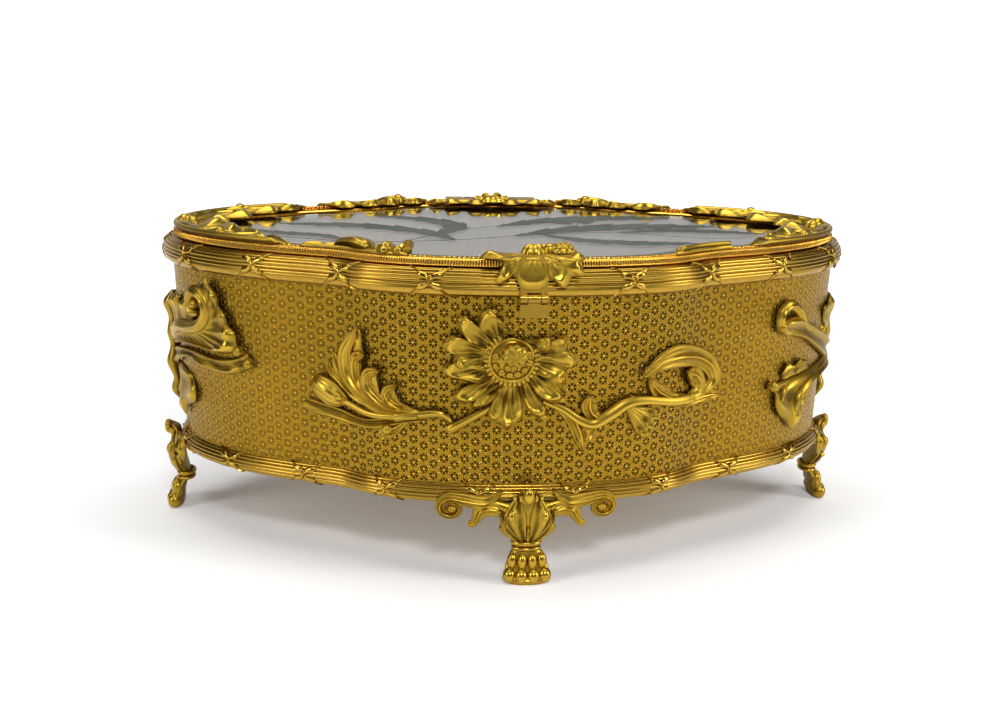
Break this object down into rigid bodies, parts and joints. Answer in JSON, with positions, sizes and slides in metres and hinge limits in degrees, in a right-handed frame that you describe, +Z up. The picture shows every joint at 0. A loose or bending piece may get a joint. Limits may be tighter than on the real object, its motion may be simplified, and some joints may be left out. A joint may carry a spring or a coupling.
{
  "type": "glass casket box",
  "caption": "Gilt casket with a bowed oblong plan, a hinged bevelled glass lid, a front clasp flap, cast flower mounts and paw feet.",
  "frame": {"origin": "on the floor under the middle of the box, where its four feet stand", "axes": "+Z up, the front with the clasp faces -Y, +X to the right seen from the front"},
  "size_m": [0.2656, 0.179, 0.1157],
  "materials": {
    "matt_gilding": "matt gilding stamped all over with small six-petalled florets",
    "bright_gilding": "bright gilding, reeded and milled",
    "cast_gilding": "cast and chased gilding, bright on the ridges",
    "etched_glass": "clear bevelled plate with a flower spray etched in it",
    "silk": "ivory silk",
    "board": "plain thin board",
    "steel": "plain turned"
  },
  "bodies": {
    "box": {"wall": "matt_gilding", "base_moulding": "bright_gilding", "rim_moulding": "bright_gilding", "bottom_plate": "matt_gilding", "front_foot": "cast_gilding", "back_foot": "cast_gilding", "left_foot": "cast_gilding", "right_foot": "cast_gilding", "foot_studs": "steel", "foot_nuts": "steel", "front_flower": "cast_gilding", "front_left_spray": "cast_gilding", "front_right_spray": "cast_gilding", "back_flower": "cast_gilding", "back_left_spray": "cast_gilding", "back_right_spray": "cast_gilding", "left_end_acanthus": "cast_gilding", "right_end_acanthus": "cast_gilding", "mount_studs": "steel", "mount_nuts": "steel", "hinge_body_leaf": "bright_gilding", "hinge_body_screws": "steel", "clasp_nib": "steel", "lining": "silk", "cushion_board": "board", "cushion": "silk", "hinge_pin": "steel"},
    "lid": {"lid_frame": "bright_gilding", "lid_glass": "etched_glass", "glass_retainer": "bright_gilding", "clasp_leaf": "cast_gilding", "clasp_strap": "bright_gilding", "clasp_pin": "steel", "lid_bud_spray": "cast_gilding", "lid_left_acanthus": "cast_gilding", "lid_right_acanthus": "cast_gilding", "lid_back_flower": "cast_gilding", "lid_back_left_leaf": "cast_gilding", "lid_back_right_leaf": "cast_gilding", "lid_front_right_leaf": "cast_gilding", "hinge_lid_leaf": "bright_gilding", "hinge_lid_screws": "steel"},
    "flap": {"clasp_flap": "bright_gilding"}
  },
  "joints": [
    {"name": "lid_hinge", "type": "hinge", "parent": "box", "child": "lid", "pos_m": [0, 0.0874, 0.1094], "axis": [-1, 0, 0], "range_deg": [0, 100]},
    {"name": "flap_pivot", "type": "hinge", "parent": "lid", "child": "flap", "pos_m": [0, -0.0876, 0.0985], "axis": [-1, 0, 0], "range_deg": [0, 80]}
  ]
}
